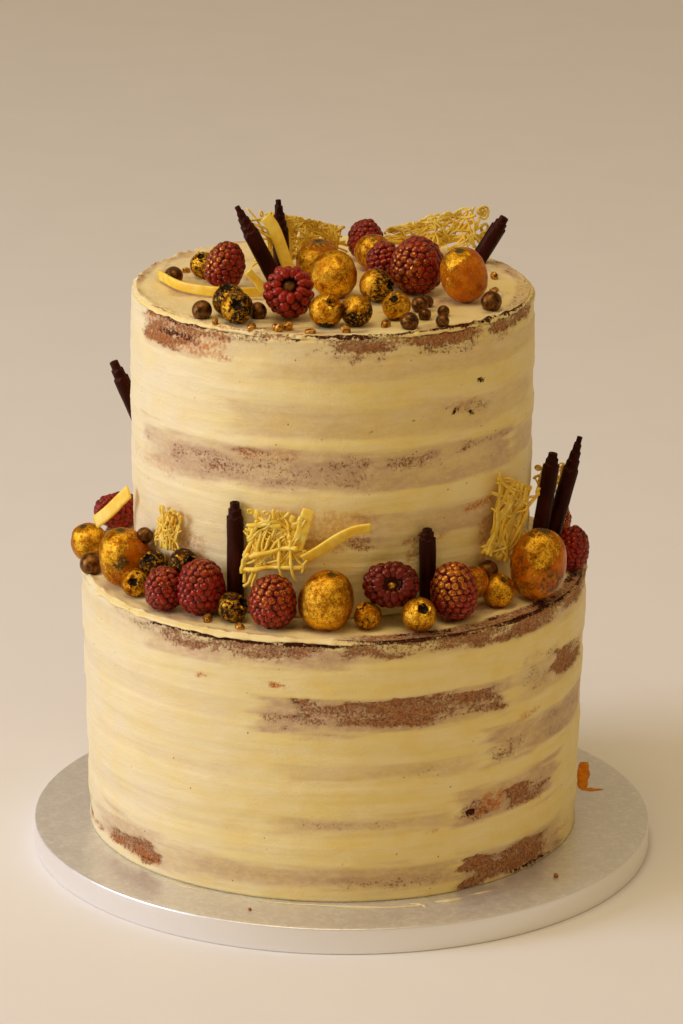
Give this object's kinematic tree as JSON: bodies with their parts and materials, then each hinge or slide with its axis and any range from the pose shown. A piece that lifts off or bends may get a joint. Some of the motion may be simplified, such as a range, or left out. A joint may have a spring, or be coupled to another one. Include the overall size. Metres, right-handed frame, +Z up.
{
  "type": "tiered wedding cake",
  "caption": "Round tiered wedding cake with thinly coated sides that show its layers, on a silver board, dressed with gilded fruit, dark chocolate rolls and white chocolate lattice.",
  "frame": {"origin": "middle of the board's flat underside, on the surface that the cake stands on", "axes": "+Z up through the tiers, -Y out of the cake's front, +X to the right of someone who faces it"},
  "size_m": [0.254, 0.254, 0.2669],
  "materials": {
    "foil": "satin silver foil with a fine mottled grain",
    "cream": "soft satin buttercream with palette marks",
    "sponge": "rough matte crumb",
    "raspberry": "moist fruit dusted with gold",
    "physalis": "glossy fruit with patches of gold leaf",
    "blueberry": "satin fruit with patches of gold leaf",
    "dark_chocolate": "satin dark chocolate",
    "white_chocolate": "satin white chocolate"
  },
  "bodies": {
    "root": {"board": "foil", "lower_cream": "cream", "upper_cream": "cream", "lower_sponge_1": "sponge", "lower_sponge_2": "sponge", "lower_sponge_3": "sponge", "lower_sponge_4": "sponge", "lower_sponge_5": "sponge", "upper_sponge_1": "sponge", "upper_sponge_2": "sponge", "upper_sponge_3": "sponge", "upper_sponge_4": "sponge", "top_roll_left": "dark_chocolate", "top_roll_middle": "dark_chocolate", "top_roll_right": "dark_chocolate", "ledge_roll_left": "dark_chocolate", "ledge_roll_middle": "dark_chocolate", "ledge_roll_back": "dark_chocolate", "ledge_rolls_right": "dark_chocolate", "top_raspberry_left": "raspberry", "top_raspberry_cup": "raspberry", "top_raspberries_right": "raspberry", "top_raspberry_back": "raspberry", "top_physalis_middle": "physalis", "top_physalis_front": "physalis", "top_physalis_right": "physalis", "top_physalis_back": "physalis", "top_blueberry_left": "blueberry", "top_blueberries_left": "blueberry", "top_blueberries_front": "blueberry", "top_blueberry_middle": "blueberry", "top_blueberry_right": "blueberry", "ledge_raspberry_left": "raspberry", "ledge_raspberries_left": "raspberry", "ledge_raspberry_front": "raspberry", "ledge_raspberry_cup": "raspberry", "ledge_raspberry_middle": "raspberry", "ledge_raspberry_right": "raspberry", "ledge_raspberry_far_right": "raspberry", "ledge_raspberries_back": "raspberry", "ledge_physalis_far_left": "physalis", "ledge_physalis_left": "physalis", "ledge_physalis_front": "physalis", "ledge_physalis_middle": "physalis", "ledge_physalis_right": "physalis", "ledge_physalis_back": "physalis", "ledge_blueberries_left": "blueberry", "ledge_blueberry_left": "blueberry", "ledge_blueberry_front": "blueberry", "ledge_blueberry_gilded": "blueberry", "ledge_blueberry_middle": "blueberry", "top_curl": "white_chocolate", "top_strip": "white_chocolate", "top_nest_left": "white_chocolate", "top_nest_right": "white_chocolate", "ledge_nest_front": "white_chocolate", "ledge_nest_left": "white_chocolate", "ledge_nest_right": "white_chocolate", "ledge_nest_far_right": "white_chocolate", "ledge_strip": "white_chocolate"}
  },
  "joints": []
}
